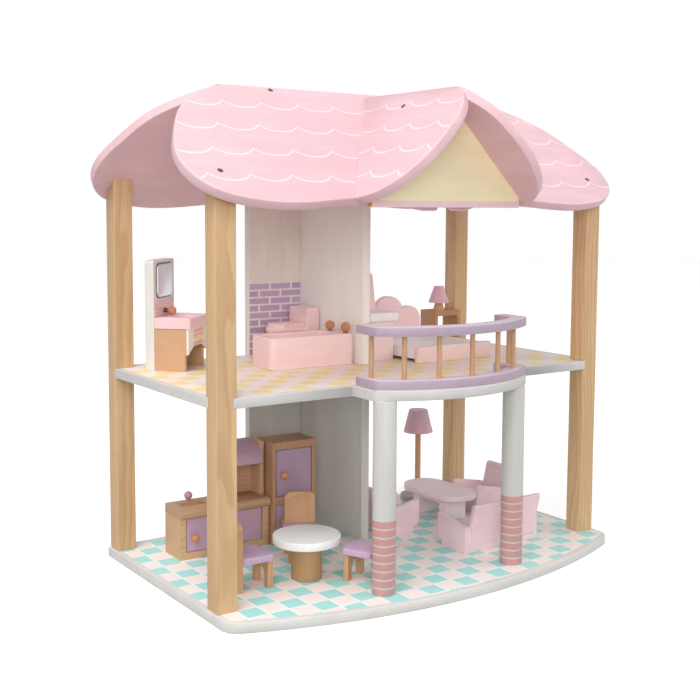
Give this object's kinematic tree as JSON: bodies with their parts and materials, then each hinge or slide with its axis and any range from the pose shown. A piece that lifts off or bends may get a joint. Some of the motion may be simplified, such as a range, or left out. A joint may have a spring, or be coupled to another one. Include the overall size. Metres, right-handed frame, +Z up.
{
  "type": "wooden dollhouse with furniture",
  "caption": "Open two-storey wooden dollhouse with a balcony, a curved gabled roof, printed floors and loose wooden furniture with doors that open.",
  "frame": {"origin": "on the underside of the base board, in the middle between the four corner posts", "axes": "+X to the right along the house's width, +Y to the back, +Z up; the balcony faces -Y"},
  "size_m": [0.64, 0.4273, 0.603],
  "materials": {
    "white_paint": "satin painted board",
    "natural_wood": "clear lacquered pine",
    "roof_pink": "satin paint with a printed white scallop pattern",
    "cream_yellow": "satin paint",
    "rail_lilac": "satin paint",
    "lilac_paint": "satin paint",
    "pink_paint": "satin paint",
    "mauve_paint": "satin paint",
    "taupe_paint": "satin paint",
    "mirror_foil": "silver mirror foil",
    "screw_steel": "zinc plated"
  },
  "bodies": {
    "house": {"base_board": "white_paint", "upper_floor": "white_paint", "corner_posts": "natural_wood", "porch_columns": "white_paint", "ground_partition_wall": "white_paint", "ground_cross_wall": "white_paint", "upper_partition_wall": "white_paint", "upper_cross_wall": "white_paint", "roof_front": "roof_pink", "roof_back": "roof_pink", "dormer_roof_left": "roof_pink", "dormer_roof_right": "roof_pink", "gable_board": "cream_yellow", "balcony_bottom_rail": "rail_lilac", "balcony_top_rail": "rail_lilac", "balusters": "natural_wood", "screws": "screw_steel"},
    "vanity": {"vanity_cabinet": "natural_wood", "vanity_basin": "pink_paint", "vanity_backboard": "white_paint", "vanity_mirror": "mirror_foil", "vanity_tap": "natural_wood"},
    "bathtub_body": {"bathtub": "pink_paint", "bathtub_taps": "natural_wood"},
    "toilet": {"toilet_body": "pink_paint", "toilet_lid": "pink_paint"},
    "bed": {"bed_headboard": "pink_paint", "bed_footboard": "pink_paint", "bed_mattress": "white_paint"},
    "dressing_table": {"dressing_table_body": "pink_paint", "dressing_table_top": "white_paint"},
    "nightstand_body": {"nightstand": "natural_wood"},
    "table_lamp": {"table_lamp_base": "natural_wood", "table_lamp_shade": "pink_paint"},
    "kitchen_unit": {"kitchen_cabinet": "natural_wood", "kitchen_worktop": "natural_wood", "kitchen_hood": "lilac_paint", "kitchen_tap": "pink_paint"},
    "sink_door": {"sink_cupboard_door": "lilac_paint"},
    "oven_door_body": {"oven_door": "lilac_paint"},
    "fridge": {"fridge_case": "natural_wood"},
    "fridge_top_door": {"fridge_upper_door": "lilac_paint"},
    "fridge_bottom_door": {"fridge_lower_door": "lilac_paint"},
    "dining_table": {"dining_table_top": "white_paint", "dining_table_leg": "natural_wood"},
    "chair_left": {"chair_left_frame": "natural_wood", "chair_left_seat": "lilac_paint"},
    "chair_rear": {"chair_rear_frame": "natural_wood", "chair_rear_seat": "lilac_paint"},
    "chair_right": {"chair_right_frame": "natural_wood", "chair_right_seat": "lilac_paint"},
    "floor_lamp": {"floor_lamp_foot": "taupe_paint", "floor_lamp_pole": "natural_wood", "floor_lamp_shade": "mauve_paint"},
    "coffee_table": {"coffee_table_top": "pink_paint", "coffee_table_legs": "white_paint"},
    "sofa_body": {"sofa": "pink_paint"},
    "armchair_left_body": {"armchair_left": "pink_paint"},
    "armchair_right_body": {"armchair_right": "pink_paint"}
  },
  "joints": [
    {"name": "lift_vanity", "type": "slide", "parent": "house", "child": "vanity", "axis": [0, 0, 1], "range_m": [0, 0.03]},
    {"name": "lift_bathtub_body", "type": "slide", "parent": "house", "child": "bathtub_body", "axis": [0, 0, 1], "range_m": [0, 0.03]},
    {"name": "lift_toilet", "type": "slide", "parent": "house", "child": "toilet", "axis": [0, 0, 1], "range_m": [0, 0.03]},
    {"name": "lift_bed", "type": "slide", "parent": "house", "child": "bed", "axis": [0, 0, 1], "range_m": [0, 0.03]},
    {"name": "lift_dressing_table", "type": "slide", "parent": "house", "child": "dressing_table", "axis": [0, 0, 1], "range_m": [0, 0.03]},
    {"name": "lift_nightstand_body", "type": "slide", "parent": "house", "child": "nightstand_body", "axis": [0, 0, 1], "range_m": [0, 0.03]},
    {"name": "lift_kitchen_unit", "type": "slide", "parent": "house", "child": "kitchen_unit", "axis": [0, 0, 1], "range_m": [0, 0.03]},
    {"name": "lift_fridge", "type": "slide", "parent": "house", "child": "fridge", "axis": [0, 0, 1], "range_m": [0, 0.03]},
    {"name": "lift_dining_table", "type": "slide", "parent": "house", "child": "dining_table", "axis": [0, 0, 1], "range_m": [0, 0.03]},
    {"name": "lift_chair_left", "type": "slide", "parent": "house", "child": "chair_left", "axis": [0, 0, 1], "range_m": [0, 0.03]},
    {"name": "lift_chair_rear", "type": "slide", "parent": "house", "child": "chair_rear", "axis": [0, 0, 1], "range_m": [0, 0.03]},
    {"name": "lift_chair_right", "type": "slide", "parent": "house", "child": "chair_right", "axis": [0, 0, 1], "range_m": [0, 0.03]},
    {"name": "lift_floor_lamp", "type": "slide", "parent": "house", "child": "floor_lamp", "axis": [0, 0, 1], "range_m": [0, 0.03]},
    {"name": "lift_coffee_table", "type": "slide", "parent": "house", "child": "coffee_table", "axis": [0, 0, 1], "range_m": [0, 0.03]},
    {"name": "lift_sofa_body", "type": "slide", "parent": "house", "child": "sofa_body", "axis": [0, 0, 1], "range_m": [0, 0.03]},
    {"name": "lift_armchair_left_body", "type": "slide", "parent": "house", "child": "armchair_left_body", "axis": [0, 0, 1], "range_m": [0, 0.03]},
    {"name": "lift_armchair_right_body", "type": "slide", "parent": "house", "child": "armchair_right_body", "axis": [0, 0, 1], "range_m": [0, 0.03]},
    {"name": "lift_table_lamp", "type": "slide", "parent": "nightstand_body", "child": "table_lamp", "axis": [0, 0, 1], "range_m": [0, 0.03]},
    {"name": "sink_door_hinge", "type": "hinge", "parent": "kitchen_unit", "child": "sink_door", "pos_m": [-0.18893, 0.04541, 0.0212], "axis": [0, 0, 1], "range_deg": [0, 92]},
    {"name": "oven_door_hinge", "type": "hinge", "parent": "kitchen_unit", "child": "oven_door_body", "pos_m": [-0.12845, 0.04404, 0.0212], "axis": [0, 0, 1], "range_deg": [0, 92]},
    {"name": "fridge_upper_door_hinge", "type": "hinge", "parent": "fridge", "child": "fridge_top_door", "pos_m": [-0.05873, 0.03278, 0.0765], "axis": [0, 0, 1], "range_deg": [0, 92]},
    {"name": "fridge_lower_door_hinge", "type": "hinge", "parent": "fridge", "child": "fridge_bottom_door", "pos_m": [-0.05873, 0.03278, 0.021], "axis": [0, 0, 1], "range_deg": [0, 92]}
  ]
}
